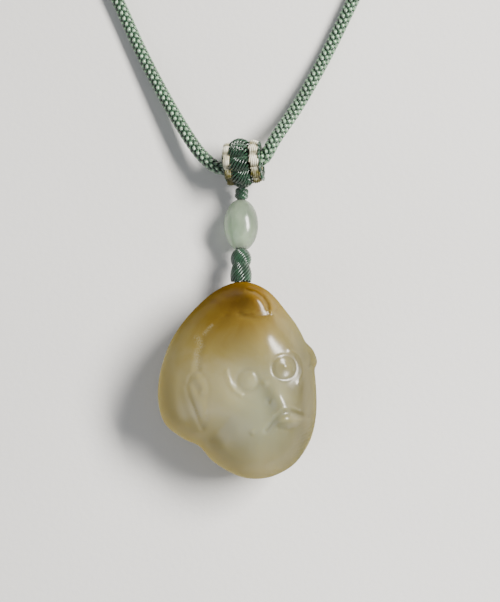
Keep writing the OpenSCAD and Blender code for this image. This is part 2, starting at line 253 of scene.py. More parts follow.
def add_piece(name, bm, *finishes):
    """Makes a smooth-shaded piece that rides on the part from a bmesh."""
    for face in bm.faces:
        face.smooth = True
    mesh = bpy.data.meshes.new(name)
    bm.to_mesh(mesh)
    bm.free()
    for finish in finishes:
        mesh.materials.append(finish)
    piece = bpy.data.objects.new(name, mesh)
    bpy.context.collection.objects.link(piece)
    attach(piece, "root")
    return piece


def set_modifiers(piece):
    """Gives the piece the mesh that its modifiers make, and takes them off."""
    seen = piece.evaluated_get(bpy.context.evaluated_depsgraph_get())
    made = bpy.data.meshes.new_from_object(seen)
    piece.modifiers.clear()
    piece.data = made


def thread_finish(name, deep, light, fuzz, filament, wax=0.9, rough=0.3):
    """Waxed thread: filaments along it, uneven dye, and the shine of its wax."""
    finish, tree, shader = new_finish(
        name, Roughness=rough, Specular_IOR_Level=0.2,
        Coat_Weight=wax, Coat_Roughness=0.12, Sheen_Weight=fuzz,
    )
    spot = add_node(tree, "TexCoord")
    dye = add_node(tree, "TexNoise", Scale=500.0, Detail=4.0, Roughness=0.65)
    tree.links.new(spot.outputs["Object"], dye.inputs["Vector"])
    colour = add_ramp(tree, dye.outputs["Fac"], [(0.32, deep), (0.66, light)])
    tree.links.new(colour, shader.inputs["Base Color"])
    hairs = add_node(tree, "TexNoise", Scale=filament, Detail=3.0)
    tree.links.new(spot.outputs["Object"], hairs.inputs["Vector"])
    add_bump(tree, shader, hairs.outputs["Fac"], strength=0.35, distance=0.12 * mm)
    return finish


braid_finish, tree, shader = new_finish(
    "braided_yarn", Roughness=0.34, Specular_IOR_Level=0.5,
    Coat_Weight=1.0, Coat_Roughness=0.16, Sheen_Weight=0.0,
)
spot = add_node(tree, "TexCoord")
place = add_node(tree, "SeparateXYZ")
tree.links.new(spot.outputs["UV"], place.inputs["Vector"])
# Each stitch is painted: a painted highlight along its crest, and painted shade at its two ends
# where it dives under the next one
colour = add_ramp(tree, place.outputs["Y"], [
    (0.20, green_deep), (0.38, braid_light), (0.48, green_painted_highlight),
    (0.54, green_painted_highlight), (0.64, braid_light), (0.80, green_deep),
])
dye = add_node(tree, "TexNoise", Scale=420.0, Detail=4.0, Roughness=0.7)
tree.links.new(spot.outputs["Object"], dye.inputs["Vector"])
uneven = add_node(tree, "MapRange", From_Min=0.3, From_Max=0.7, To_Min=0.55, To_Max=1.25)
tree.links.new(dye.outputs["Fac"], uneven.inputs["Value"])
dyed = add_node(tree, "VectorMath")
dyed.operation = "SCALE"
tree.links.new(colour, dyed.inputs[0])
tree.links.new(uneven.outputs["Result"], dyed.inputs["Scale"])
tree.links.new(dyed.outputs["Vector"], shader.inputs["Base Color"])
stripes = add_node(tree, "TexWave", Scale=9.0, Distortion=1.2, Detail=1.0)
tree.links.new(spot.outputs["UV"], stripes.inputs["Vector"])
add_bump(tree, shader, stripes.outputs["Fac"], strength=0.5, distance=0.06 * mm)

core_finish = thread_finish(
    "cord_core", core_green_and_shade, green_deep, fuzz=0.0, filament=3000.0, wax=0.1, rough=0.6,
)

cord_line = smooth_route(cord_stations, route_steps)
cord_length = sum((b - a).length for a, b in zip(cord_line, cord_line[1:]))
neck_cord_core = add_line("neck_cord_core", cord_line, core_r)
neck_cord_core.data.materials.append(core_finish)
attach(neck_cord_core, "root")

stitches = round(cord_length / stitch_pitch)
pitch = cord_length / stitches
bm = bmesh.new()
bm.loops.layers.uv.new("stitch")
bmesh.ops.create_uvsphere(bm, u_segments=8, v_segments=6, radius=0.5, calc_uvs=True)
bmesh.ops.scale(bm, vec=(stitch_wide, stitch_high, stitch_long), verts=bm.verts)
bmesh.ops.bisect_plane(
    bm, geom=bm.verts[:] + bm.edges[:] + bm.faces[:], dist=0.001 * mm,
    plane_co=(0, 0, 0), plane_no=(0, -1, 0), clear_outer=True,
)
foot = [vert for vert in bm.verts if vert.co.y < 0.01 * stitch_high]
bmesh.ops.translate(bm, vec=(0, -stitch_root * stitch_high, 0), verts=foot)
# Its length comes to lie along X, its width along Y and its height along Z
laid_down = Matrix(((0, 0, 1), (1, 0, 0), (0, 1, 0)))
bmesh.ops.rotate(bm, matrix=laid_down, verts=bm.verts)
# The columns lean to the two sides in turn, and every other one starts half a stitch on
columns = []
for k in range(stitch_columns):
    side = 1 if k % 2 else -1
    lean = Matrix.Rotation(side * stitch_lean, 4, "Z")
    out = Matrix.Translation((pitch * (0.25 + 0.5 * (k % 2)), 0, crest_r - stitch_high / 2))
    columns.append(Matrix.Rotation(math.tau * (k + 0.5) / stitch_columns, 4, "X") @ out @ lean)
set_copies(bm, columns)
neck_cord = add_piece("neck_cord_braid", bm, braid_finish)
repeat = neck_cord.modifiers.new("along", "ARRAY")
repeat.count = stitches
repeat.use_relative_offset = False
repeat.use_constant_offset = True
repeat.constant_offset_displace = (pitch, 0, 0)
bend = neck_cord.modifiers.new("route", "CURVE")
guide = add_line("guide", cord_line, 0)
bend.object = guide
set_modifiers(neck_cord)
bpy.data.objects.remove(guide)
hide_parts("neck_cord")

# Closing knot: a sliding knot behind the neck, of green yarn of two twisted plies, which is
# wrapped in tight turns over both ends of the cord. Its wraps lean a little.
wrap_r = 0.48 * mm
wraps = 10
wrap_steps = 72
plies = 2
ply_r = 0.27 * mm
ply_reach = 0.20 * mm
ply_turns = 8
knot_lean = math.radians(9)
knot_low, knot_high = (Vector(c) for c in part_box("closing_knot"))
knot_middle = (knot_low + knot_high) / 2
wrap_reach = (knot_high.z - knot_low.z) / 2 - wrap_r
wrap_step = (knot_high.x - knot_low.x - 2 * wrap_r) / (wraps - 1)

green_thread = thread_finish("green_thread", green_deep, green_light, fuzz=0.1, filament=1500.0)


def add_strands(name, routes, radius, *finishes, sides=2):
    """Round strands along the routes, as one smooth mesh."""
    data = bpy.data.curves.new(name, "CURVE")
    data.dimensions = "3D"
    data.bevel_depth = radius
    data.bevel_resolution = sides
    data.use_fill_caps = True
    for route in routes:
        spline = data.splines.new("POLY")
        spline.points.add(len(route) - 1)
        for knot, place in zip(spline.points, route):
            knot.co = (*place, 1)
    guide = bpy.data.objects.new(name, data)
    bpy.context.collection.objects.link(guide)
    seen = guide.evaluated_get(bpy.context.evaluated_depsgraph_get())
    bm = bmesh.new()
    bm.from_mesh(bpy.data.meshes.new_from_object(seen))
    bpy.data.objects.remove(guide)
    return add_piece(name, bm, *finishes)


# Each wrap starts and ends underneath
routes = []
for i in range(wraps):
    middle = knot_middle + Vector((wrap_step * (i - (wraps - 1) / 2), 0, 0))
    for ply in range(plies):
        route = []
        for k in range(wrap_steps + 1):
            a = math.tau * (k / wrap_steps - 0.25)
            b = ply_turns * a + math.tau * ply / plies
            reach = wrap_reach + ply_reach * math.cos(b)
            place = Vector((ply_reach * math.sin(b), reach * math.cos(a), reach * math.sin(a)))
            route.append(middle + Matrix.Rotation(knot_lean, 3, "Z") @ place)
        routes.append(route)
closing_knot = add_strands("closing_knot_wraps", routes, ply_r, green_thread)
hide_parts("closing_knot")

# Hanging line: one waxed green thread rises from two meeting holes in the crown, through
# the lower knot, the bead and the small knot, into the foot of the bail. It is the part's
# own solid, which shows only between the pieces that it carries.
line_x = 0.6 * mm
crown_top = Vector((line_x, 5.15 * mm, 5.8 * mm))
bead_long = 9.2 * mm
bead_d = 6.2 * mm
bead_tilt = math.radians(-6)
bead_middle = Vector((line_x, 15.3 * mm, 3.15 * mm))
piece_gap = 0.12 * mm
kink_gap = 0.3 * mm
thread_r = 0.7 * mm
bail_middle = Vector((0.8, 26.3, 4.8)) * mm
bail_foot = bail_middle + Vector((0.3 * mm, 0, 0))
bail_r = 4.55 * mm
bead_half = (bead_long / 2 + piece_gap) * Vector((0, math.cos(bead_tilt), math.sin(bead_tilt)))
bead_under = bead_middle - bead_half
bead_over = bead_middle + bead_half


def from_to(p, q):
    """The place of something that stands at p with its Z axis towards q."""
    return Matrix.Translation(p) @ (q - p).to_track_quat("Z", "X").to_matrix().to_4x4()


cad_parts["hanging_thread"].material_slots[0].material = green_thread

# Lower knot: two round lobes of green yarn over a dark middle, drawn tight by hand. Their
# strands slant up to the right, and the lower lobe sits on the stone with its wide part.
knot_length = (bead_under - crown_top).length - kink_gap
lobe_long = knot_length / 2
lobe_strands = 17
lobe_wind = math.radians(105)
strand_r = 0.2 * mm
bore_r = thread_r + piece_gap
knot_core_r = 1.2 * mm
# The dark middle from its foot up: height in halves of the knot, share of its radius
knot_core = [(0.10, 0.8), (0.5, 1.0), (1.0, 0.75), (1.5, 1.0), (1.94, 0.8)]
# Below 1 a lobe swells sooner from its ends
lobe_swell = 0.8
# columns: foot and top in halves of the knot, first part, slope, radius at ends and at middle
knot_lobes = [(-0.11, 1.02, 0.24, 0.45, 1.3, 1.74), (0.98, 2.0, 0.0, 0.0, 1.15, 1.7)]


def wound_lobe(place, foot, top, first, slope, end_r, full_r, strands, wind, steps=14):
    """Strands that slant over a round lobe from foot to top, swelling after its first part.
    A slope brings the foot down in front."""
    routes = []
    for strand in range(strands):
        route = []
        for k in range(steps + 1):
            part = first + (1 - first) * k / steps
            radius = end_r + (full_r - end_r) * math.sin(math.pi * min(part, 1)) ** lobe_swell
            a = math.tau * strand / strands + wind * k / steps
            rise = foot + (top - foot) * k / steps - slope * radius * math.cos(a) * (1 - k / steps)
            route.append(place @ Vector((radius * math.cos(a), radius * math.sin(a), rise)))
        routes.append(route)
    return routes


def lathe(bm, profile, steps=32):
    """Turns a profile of radius and height round the Z axis."""
    made = [bm.verts.new((r, 0, z)) for r, z in profile]
    edges = [bm.edges.new(pair) for pair in zip(made, made[1:])]
    bmesh.ops.spin(
        bm, geom=made + edges, axis=(0, 0, 1), cent=(0, 0, 0),
        angle=math.tau, steps=steps, use_merge=True,
    )
    bmesh.ops.recalc_face_normals(bm, faces=bm.faces[:])


lower_place = from_to(crown_top, bead_under)
routes = []
for foot, top, first, slope, end_r, full_r in knot_lobes:
    ends = foot * lobe_long, top * lobe_long
    routes += wound_lobe(
        lower_place, *ends, first, slope, end_r * mm, full_r * mm, lobe_strands, lobe_wind,
    )
lower_knot = add_strands("lower_knot_turns", routes, strand_r, green_thread)
# The dark middle is near-black, as painted shade under the strands
bm = bmesh.new()
waist = [(knot_core_r * share, lobe_long * high) for high, share in knot_core]
lathe(bm, [(bore_r, waist[0][1]), *waist, (bore_r, waist[-1][1])])
bmesh.ops.transform(bm, matrix=lower_place, verts=bm.verts)
lower_core = add_piece("lower_knot_core", bm, core_finish)
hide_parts("lower_knot")

# Bead: a rice-shaped bead of pale green jade, ground, drilled end to end and polished. It is
# half clear, and lies on the thread between the two knots.
bead_steps = 40
# How far its side turns from the middle to each end, as an arc
bead_end = math.radians(74)
bead_clear = (0.27, 0.35, 0.25, 1)
bead_cloudy = (0.42, 0.50, 0.38, 1)

bead_finish, tree, shader = new_finish(
    "pale_green_jade", Roughness=0.22, IOR=1.55, Transmission_Weight=0.35,
    Subsurface_Weight=1.0, Subsurface_Radius=(1.0, 1.2, 0.9), Subsurface_Scale=4.0 * mm,
)
spot = add_node(tree, "TexCoord")
stretch = add_node(tree, "Mapping", Scale=(1.0, 0.35, 1.0))
tree.links.new(spot.outputs["Object"], stretch.inputs["Vector"])
cloud = add_node(tree, "TexNoise", Scale=520.0, Detail=4.0, Distortion=0.6)
tree.links.new(stretch.outputs["Vector"], cloud.inputs["Vector"])
colour = add_ramp(tree, cloud.outputs["Fac"], [(0.35, bead_clear), (0.70, bead_cloudy)])
place = add_node(tree, "SeparateXYZ")
tree.links.new(spot.outputs["Object"], place.inputs["Vector"])
# Painted light and shade: the bead is made paler on its left and towards its end nearer the stone,
# and darker on its right, where light would or would not pass through it
across = add_node(tree, "MapRange", From_Min=-2.5 * mm, From_Max=3.7 * mm, To_Min=1.5, To_Max=0.38)
tree.links.new(place.outputs["X"], across.inputs["Value"])
along = add_node(tree, "MapRange", From_Min=11 * mm, From_Max=18 * mm, To_Min=1.3, To_Max=0.85)
tree.links.new(place.outputs["Y"], along.inputs["Value"])
through = add_node(tree, "Math")
through.operation = "MULTIPLY"
tree.links.new(across.outputs["Result"], through.inputs[0])
tree.links.new(along.outputs["Result"], through.inputs[1])
bead_painted_light = add_node(tree, "VectorMath")
bead_painted_light.operation = "SCALE"
tree.links.new(colour, bead_painted_light.inputs[0])
tree.links.new(through.outputs["Value"], bead_painted_light.inputs["Scale"])
tree.links.new(bead_painted_light.outputs["Vector"], shader.inputs["Base Color"])
polish = add_node(tree, "TexNoise", Scale=900.0, Detail=2.0)
tree.links.new(spot.outputs["Object"], polish.inputs["Vector"])
add_bump(tree, shader, polish.outputs["Fac"], strength=0.03, distance=0.2 * mm)

reach = bead_long / 2 / math.sin(bead_end)
side = []
for k in range(bead_steps + 1):
    a = bead_end * (2 * k / bead_steps - 1)
    side.append((bead_d / 2 * math.cos(a), bead_long / 2 + reach * math.sin(a)))
bm = bmesh.new()
lathe(bm, [(bore_r, 0)] + side + [(bore_r, bead_long), (bore_r, 0)], steps=64)
bmesh.ops.translate(bm, vec=(0, 0, piece_gap), verts=bm.verts)
bmesh.ops.transform(bm, matrix=from_to(bead_under, bead_over), verts=bm.verts)
jade_bead = add_piece("jade_bead_turned", bm, bead_finish)
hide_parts("jade_bead")

# Collar knot: a small tight knot of the same yarn between the bead and the bail, of two
# low lobes of slanting strands round the thread.
collar_strands = 11
collar_wind = math.radians(60)
collar_ends_r = 0.88 * mm
collar_full_r = 1.05 * mm
collar_lobes = 2
# What a lobe leaves free at its foot, as a share of its height
collar_waist = 0.05
collar_long = (bail_middle - bead_over).length - bail_r - kink_gap - 2 * piece_gap
collar_place = from_to(bead_over, bail_foot)

routes = []
for lobe in range(collar_lobes):
    ends = (kink_gap + collar_long * (lobe + part) / collar_lobes for part in (collar_waist, 1))
    routes += wound_lobe(
        collar_place, *ends, first=0, slope=0, end_r=collar_ends_r, full_r=collar_full_r,
        strands=collar_strands, wind=collar_wind,
    )
collar_knot = add_strands("collar_knot_turns", routes, strand_r, green_thread)
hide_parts("collar_knot")

# Bail: a woven ring on the cord, of five columns of rolls side by side. The middle one is
# green, of fine slanting strands, the ones beside it are cream silk, and a narrow green rim
# edges each side. It sits turned a little on the cord and leans to its left.
bail_turn = math.radians(5)
bail_lean = math.radians(8)
# How much lower than its middle the ring is at a distance across it, per square millimetre
bail_round = 0.03
bore_reach = 2.1 * mm
arc_half = math.radians(100)
arc_steps = 16
cream_light = (0.80, 0.78, 0.66, 1)
cream_deep = (0.42, 0.38, 0.21, 1)
olive_shade_colour = (0.095, 0.086, 0.018, 1)
# The cream silk is painted olive at the foot of each roll, as painted shade in the valleys, and is
# olive below these heights
olive_below = (24.4, 25.2)
valley_shade_foot = (0.36, 0.12)
valley_shade_most = 0.8
# How far past its column a strand may reach, in millimetres
arc_slack = 0.02
# columns: name, middle and width along the ring, how far it lies inside the green one,
# rolls, radius of a roll, turn of its first roll, strands, radius of a strand, lean, pinch, dome
bail_columns = [
    ("bail_centre", -0.2, 3.7, 0, 8, 1.3, 12, 11, 0.17, 1.3, 0.16, 0.24),
    ("bail_left", -2.4, 1.3, 0.4, 9, 1.15, 20, 6, 0.17, 0.2, 0.3, 0.5),
    ("bail_right", 2.5, 1.8, 0.4, 9, 1.15, 26, 7, 0.18, 0.3, 0.25, 0.35),
    ("bail_rim_left", -3.05, 0.4, 1.2, 9, 1.0, 40, 2, 0.15, 0, 0, 0),
    ("bail_rim_right", 3.45, 0.4, 0.5, 9, 1.0, 14, 2, 0.15, 0, 0, 0),
]
# The short roll at the foot, over the thread: middle, width, out of the axis, radius, turn,
# strands, radius of a strand, lean, pinch, dome
foot_roll = (0.6, 2.0, 3.9, 0.9, 250, 6, 0.19, 0.5, 0.3, 0.4)
bail_place = Matrix.Translation(bail_middle) @ Matrix.Rotation(bail_turn, 4, "Z")
bail_place = bail_place @ Matrix.Rotation(-bail_lean, 4, "Y")


def roll_arcs(middle, width, from_axis, roll_r, turn, strands, strand_r, lean, pinch, dome):
    """The strands over one roll, which turn degrees round the bail puts in its place."""
    a = math.radians(turn)
    free = max(0, width / 2 - strand_r)
    arcs = []
    for strand in range(strands):
        x = (free + lean) * (2 * strand / (strands - 1) - 1)
        arc = []
        for k in range(arc_steps + 1):
            b = arc_half * (2 * k / arc_steps - 1)
            across = x * (1 - pinch * (b / arc_half) ** 2) - lean * b / arc_half
            if abs(across) > free + arc_slack:
                continue
            out = roll_r - strand_r
            reach = from_axis - bail_round * (middle + across) ** 2 - dome * across ** 2
            y = reach * math.sin(a) + out * math.sin(a + b)
            z = -reach * math.cos(a) - out * math.cos(a + b)
            arc.append(bail_place @ (Vector((middle + across, y, z)) * mm))
        if len(arc) > 2:
            arcs.append(arc)
    return arcs


def set_number(piece, name, numbers):
    """Keeps a number for each point of the piece's mesh, for its material."""
    kept = piece.data.attributes.new(name, "FLOAT", "POINT")
    kept.data.foreach_set("value", np.asarray(numbers, dtype=np.float32))


def add_part(tree, name):
    """The number that the mesh keeps for each point under this name."""
    part = add_node(tree, "Attribute")
    part.attribute_name = name
    return part.outputs["Fac"]


silk = {"fuzz": 0.0, "filament": 1800.0, "wax": 0.15, "rough": 0.35}
cream_silk = thread_finish("cream_silk", cream_deep, cream_light, **silk)
# Under the cream rolls the rings are olive, as painted shade in the gaps between the rolls
shaded_olive_silk = thread_finish("shaded_olive_silk", olive_shade_colour, cream_deep, **silk)
tree = cream_silk.node_tree
shader = tree.nodes["Principled BSDF"]
spot = add_node(tree, "TexCoord")
patchy = add_node(tree, "TexNoise", Scale=1500.0, Detail=3.0)
tree.links.new(spot.outputs["Object"], patchy.inputs["Vector"])
uneven = add_node(tree, "MapRange", From_Min=0.35, From_Max=0.55, To_Min=0.7, To_Max=1.0)
tree.links.new(patchy.outputs["Fac"], uneven.inputs["Value"])
# Painted shade: olive over the cream at the foot of each roll, in patches, and olive below given
# heights
olive_patches = add_node(tree, "Math")
olive_patches.operation = "MULTIPLY"
tree.links.new(add_part(tree, "olive_mask"), olive_patches.inputs[0])
tree.links.new(uneven.outputs["Result"], olive_patches.inputs[1])
plain_cream = shader.inputs["Base Color"].links[0].from_socket
cream_with_olive = add_blend(tree, olive_patches.outputs["Value"], plain_cream, olive_shade_colour)
tree.links.new(cream_with_olive, shader.inputs["Base Color"])

for row in bail_columns:
    name, middle, width, low, rolls, roll_r, first, strands, strand_r, lean, pinch, dome = row
    pale = name in ("bail_left", "bail_right")
    finish = cream_silk if pale else green_thread
    from_axis = bail_r / mm - low - roll_r
    routes = []
    for roll in range(rolls):
        turn = first + 360 * roll / rolls
        routes += roll_arcs(
            middle, width, from_axis, roll_r, turn, strands, strand_r, lean, pinch, dome,
        )
    if name == "bail_centre":
        routes += roll_arcs(*foot_roll)
    column = add_strands(name + "_strands", routes, strand_r * mm, finish)
    places = np.array([bail_place.inverted() @ v.co for v in column.data.vertices]) / mm
    turned = np.degrees(np.arctan2(places[:, 1], -places[:, 2])) - first
    foot = (turned * rolls / 360 + 0.5) % 1 - 0.5
    # Painted shade at the foot of each roll on the upper half of the ring, and olive below given
    # heights
    olive_mask = np.exp(-((foot - valley_shade_foot[0]) / valley_shade_foot[1]) ** 2) * (places[:, 2] > 0)
    high = np.array([v.co.y for v in column.data.vertices]) / mm
    olive_low = np.clip((olive_below[1] - high) / (olive_below[1] - olive_below[0]), 0, 1)
    set_number(column, "olive_mask", np.maximum(valley_shade_most * olive_mask, olive_low))
    # The base ring under the rolls, olive or near-black green, stands in for the shade between
    # them as painted shade
    bm = bmesh.new()
    half = width / 2 * mm
    inner = (from_axis - bail_round * middle ** 2 - dome * (width / 2) ** 2) * mm
    ring = [(bore_reach, -half), (inner, -half), (inner, half), (bore_reach, half)]
    lathe(bm, ring + ring[:1], steps=48)
    slid = Matrix.Translation((middle * mm, 0, 0))
    across = Matrix.Rotation(math.pi / 2, 4, "Y")
    bmesh.ops.transform(bm, matrix=bail_place @ slid @ across, verts=bm.verts)
    base = add_piece(name + "_base", bm, shaded_olive_silk if pale else core_finish)
    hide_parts(name)

# Jade monkey: a pebble of nephrite, its back left plain and a monkey's face cut into the
# front, looking to the right. The pebble's honey-brown skin is kept as the hair, and the
# stone below it is polished pale grey-green, lets light in, and has light painted at its edges.
head_around = 320
head_rings = 260
# The share of the rings that lies on the front
front_share = 0.72
# How full each half of the pebble is, where 2 is an ellipse
front_fullness = 2.25
back_fullness = 2.3
# The middle of the front, where above 1 the detail draws the rings together
face = (5.2, -14.6)
face_detail = 1.3
# Height of the front over the seat, and how deep the flat seat is ground into the back
brow_z = 16.4
seat_cut = 1.6
# The same tables as in the part's source, in millimetres
# columns: across, along, height of the edge above the seat
edge_rows = [
    (0.7, 4.75, 5.8), (-3.9, 3.1, 6), (-8.4, -1, 6.4), (-11.6, -5.6, 7), (-13.5, -11, 7.5),
    (-13.9, -16.2, 7.6), (-12.7, -20.3, 7.4), (-9.6, -22.9, 6.8), (-6.7, -24.3, 6.6),
    (-4.2, -27, 6.6), (0, -29.4, 6.8), (3.4, -29.95, 7), (6.7, -29.3, 7.1), (10.1, -27.2, 7.2),
    (12.6, -23.4, 7.4), (13.7, -19.4, 7.6), (13.85, -15.2, 7.7), (13.4, -10.4, 7.7),
    (12.3, -7, 7.4), (10.9, -3.85, 6.9), (9, -1.05, 6.6), (5.25, 3.2, 6),
]
# The ear that stands out of the edge: across, along, half width and reach
ear_x, ear_y, ear_half, ear_reach = 13.1, -8.3, 2.1, 0.9
# columns: across, along, half length, half width, turn, height
mounds = [
    (4.6, -5.6, 6.6, 4.6, 8, 1.1),      # forehead
    (3.0, 2.3, 3.4, 2.2, -24, 3.4),     # tuft of hair
    (1.4, -12.7, 3.4, 2.6, 8, -0.75),   # left eye socket
    (8.4, -10.9, 3.3, 2.8, 8, -0.65),   # right eye socket
    (1.8, -12.8, 1.6, 1.5, 0, 0.5),     # left eyeball
    (8.0, -10.7, 1.7, 1.8, 0, 0.65),    # right eyeball
    (7.2, -15.8, 3.1, 1.7, -60, 1.0),   # nose
    (7.0, -20.4, 6.4, 4.8, 10, 1.3),    # muzzle
    (8.5, -19.5, 2.1, 1.0, -6, 0.8),    # lower lip
    (-1.6, -16.6, 3.0, 4.4, 20, 0.4),   # left cheek
    (-6.5, -15.6, 5.0, 1.7, -78, 0.42),  # left ear
    (-6.7, -14.4, 1.9, 0.8, -58, -0.36),  # hollow of the left ear
]
# columns: across, along, reach across and along, half width, height
eye_rings = [(1.8, -12.8, 1.8, 1.7, 0.4, -0.12), (8.0, -10.7, 2.0, 2.1, 0.4, -0.15)]
# columns: half width, height, route
cuts = [
    # mouth
    (0.5, -0.3, [
        (5.0, -21.3), (5.8, -20.2), (6.7, -19.2), (7.9, -18.4),
        (9.0, -18.1), (10.3, -18.6), (12, -19),
    ]),
    # jaw
    (1.2, -0.1, [(0.8, -16.2), (-1.5, -18), (-1.8, -21.4), (-0.6, -24.6), (2.6, -27), (7, -27.4)]),
    # hairline
    (0.6, -0.16, [
        (-1.9, -1.8), (-3.4, -2.9), (-4.9, -4.1), (-5.7, -5.1),
        (-6.2, -7), (-6.7, -9), (-6.8, -10.6),
    ]),
    # foot of the tuft
    (0.5, -0.3, [(6.4, -0.6), (5.2, -1.7), (2.9, -2), (0.4, -1.5)]),
    # side of the face
    (0.6, -0.25, [
        (6.8, -0.9), (8.6, -2.6), (10.4, -5.2), (11.6, -7.8),
        (12.3, -11), (12.8, -15), (12.6, -21),
    ]),
    # edge of the left ear
    (0.45, -0.14, [
        (-6.6, -10.9), (-7.9, -12), (-8.6, -13.7), (-8.2, -15.6), (-7.3, -17.8), (-6, -21),
    ]),
    # front of the left ear
    (0.45, -0.08, [
        (-6.4, -11.4), (-5.2, -12.6), (-4.8, -14.4), (-5.1, -17), (-5.2, -19.4), (-5.9, -21),
    ]),
]
# Finer lines, in millimetres
# columns: half width, height, route
fine_lines = [
    # curl round the tuft, and the groove inside it
    (0.40, 0.90, [(1.5, 3.5), (3.3, 3.1), (4.9, 2.2), (5.8, 0.9), (6.3, -0.2), (5.9, -1.0)]),
    (0.30, -0.60, [(1.8, 2.8), (3.2, 2.4), (4.4, 1.5), (5.1, 0.4), (5.4, -0.5)]),
    # lids round the eyes
    (0.40, 0.18, [(-1.7, -11.2), (-1.5, -12.3), (-1.1, -13.4), (-0.4, -14.4), (0.7, -15.2)]),
    (0.40, 0.16, [(9.0, -7.7), (10.5, -8.4), (11.2, -9.8), (11.2, -11.6), (10.5, -13.0)]),
    # front of the right ear
    (0.36, -0.50, [(11.4, -5.6), (12.0, -7.0), (12.3, -8.6), (12.4, -10.4)]),
    # folds of the lips
    (0.30, 0.10, [(6.2, -18.5), (7.5, -17.6), (8.9, -17.3), (10.4, -17.9)]),
    (0.40, -0.12, [(7.0, -20.8), (8.6, -21.1), (10.4, -20.4)]),
    # wrinkle under the chin
    (0.60, -0.12, [
        (-3.4, -24.7), (-0.6, -26.9), (3.0, -28.0), (7.0, -27.4), (10.0, -25.2), (11.6, -22.4),
    ]),
    # step behind the left ear, down to the notch in the edge
    (0.70, -0.08, [(-9.4, -12.0), (-9.8, -14.6), (-9.2, -17.6), (-8.0, -20.6), (-7.4, -23.8)]),
]
# Small bumps: across, along, half width, height
dots = [
    (4.8, -13.3, 0.55, 0.22), (2.5, -21.5, 0.45, 0.22), (5.2, -16.4, 0.4, -0.12),
    (11.5, -18.8, 0.7, 0.28), (8.3, -10.4, 0.5, 0.16), (2.6, -11.6, 0.5, 0.16),
    (-6.1, -15.0, 0.5, 0.16),
]
# Places where the wheel left the stone unpolished: half width and route
frosted = [
    (0.55, [(-6.9, -5.6), (-6.2, -7.0), (-7.0, -8.4), (-6.6, -10.4)]),
    (0.30, [(-4.4, -3.4), (-5.6, -4.8)]),
    (0.40, [(-7.4, -17.2), (-6.7, -18.8), (-5.8, -20.6)]),
    (0.26, [(-5.2, -18.0), (-5.2, -19.4)]),
]
# The crinkled stretch of the edge: middle along, half length, pitch, depth and slant
crinkle_y, crinkle_half, crinkle_pitch, crinkle_deep, crinkle_slant = -23.4, 2.8, 0.8, 0.13, 0.4
# How far from the edge the ear and the crinkles die out, in height
edge_reach = 4
# The warm rim is painted light, standing in for light let in where the edge is thin: its half
# width, its strength at a place across and the loss from there on, and where it starts below
# the crown and how far on it is full
glow_wide = 3.6
glow_most, glow_x, glow_loss = 0.55, 3.0, 0.05
glow_top, glow_full = -3.0, 9.0
# The pale patch round the muzzle: across, along, half length and half width
pale_x, pale_y, pale_long, pale_wide = 6.0, -18.4, 8.0, 9.0
# The shade on the right: where it starts, and how far on it is full
shade_x, shade_full = 4.0, 7.0
# The polish: its least, what the top has more, and from where up the front it grows
gloss_least, gloss_more, gloss_start, gloss_full = 0.02, 0.62, 0.35, 0.45
# How much of the frost goes into the bump of the surface
frost_relief = 0.2


def bell(d):
    """One at no distance, and fading out past about two."""
    return np.exp(-d * d)


def from_route(x, y, route):
    """How far each place lies from a route of straight stretches."""
    near = np.full(x.shape, np.inf)
    for (ax, ay), (bx, by) in zip(route, route[1:]):
        dx, dy = bx - ax, by - ay
        t = np.clip(((x - ax) * dx + (y - ay) * dy) / (dx * dx + dy * dy), 0, 1)
        near = np.minimum(near, np.hypot(x - ax - t * dx, y - ay - t * dy))
    return near


def carving(x, y):
    """Height of the carving over the plain pebble at each place of the front."""
    z = np.zeros(x.shape)
    for mx, my, long, wide, turn, height in mounds:
        c, s = math.cos(math.radians(turn)), math.sin(math.radians(turn))
        u = ((x - mx) * c + (y - my) * s) / long
        v = ((y - my) * c - (x - mx) * s) / wide
        z += height * bell(np.hypot(u, v))
    for rx, ry, long, high, wide, height in eye_rings:
        off = (np.hypot((x - rx) / long, (y - ry) / high) - 1) * (long + high) / 2
        z += height * bell(off / wide)
    for wide, height, route in cuts + fine_lines:
        z += height * bell(from_route(x, y, route) / wide)
    for dx, dy, wide, height in dots:
        z += height * bell(np.hypot(x - dx, y - dy) / wide)
    return z


def on_edge(place):
    """The edge's row at each place from 0 to 1, on a closed smooth curve."""
    rows = np.array(edge_rows)
    n = len(rows)
    i = np.floor(place * n).astype(int)
    a, b, c, d = (rows[(i + k) % n] for k in (-1, 0, 1, 2))
    t = (place * n - i)[:, None]
    return smooth_point(a, b, c, d, t)


bm = bmesh.new()
bmesh.ops.create_uvsphere(bm, u_segments=head_around, v_segments=head_rings, radius=1)
ball = np.array([v.co for v in bm.verts])
around = np.arctan2(ball[:, 1], ball[:, 0]) / math.tau % 1.0
down = np.arccos(np.clip(ball[:, 2], -1, 1)) / math.pi
edge = on_edge(around)
front = down < front_share
out = np.where(front, (down / front_share) ** face_detail, (1 - down) / (1 - front_share))
theta = np.clip(out, 0, 1) * math.pi / 2
fullness = np.where(front, front_fullness, back_fullness)
rise = np.cos(theta) ** (2 / fullness)
spread = np.sin(theta) ** (2 / fullness)
x = face[0] + (edge[:, 0] - face[0]) * spread
y = face[1] + (edge[:, 1] - face[1]) * spread
over = edge[:, 2] + (brow_z - edge[:, 2]) * rise + carving(x, y) * rise
under = np.maximum(0, edge[:, 2] - (edge[:, 2] + seat_cut) * rise)
z = np.where(front, over, under)
above = np.where(front, (brow_z - edge[:, 2]) * rise, edge[:, 2] - under)
near_edge = bell(above / edge_reach)
ear_push = bell((np.hypot(x - ear_x, y - ear_y) / ear_half) ** 2) * near_edge
x = x + ear_reach * ear_push
bent = (x > face[0]) * bell((y - crinkle_y) / crinkle_half) * near_edge
x = x + crinkle_deep * bent * np.sin(math.tau * (y + crinkle_slant * z) / crinkle_pitch)

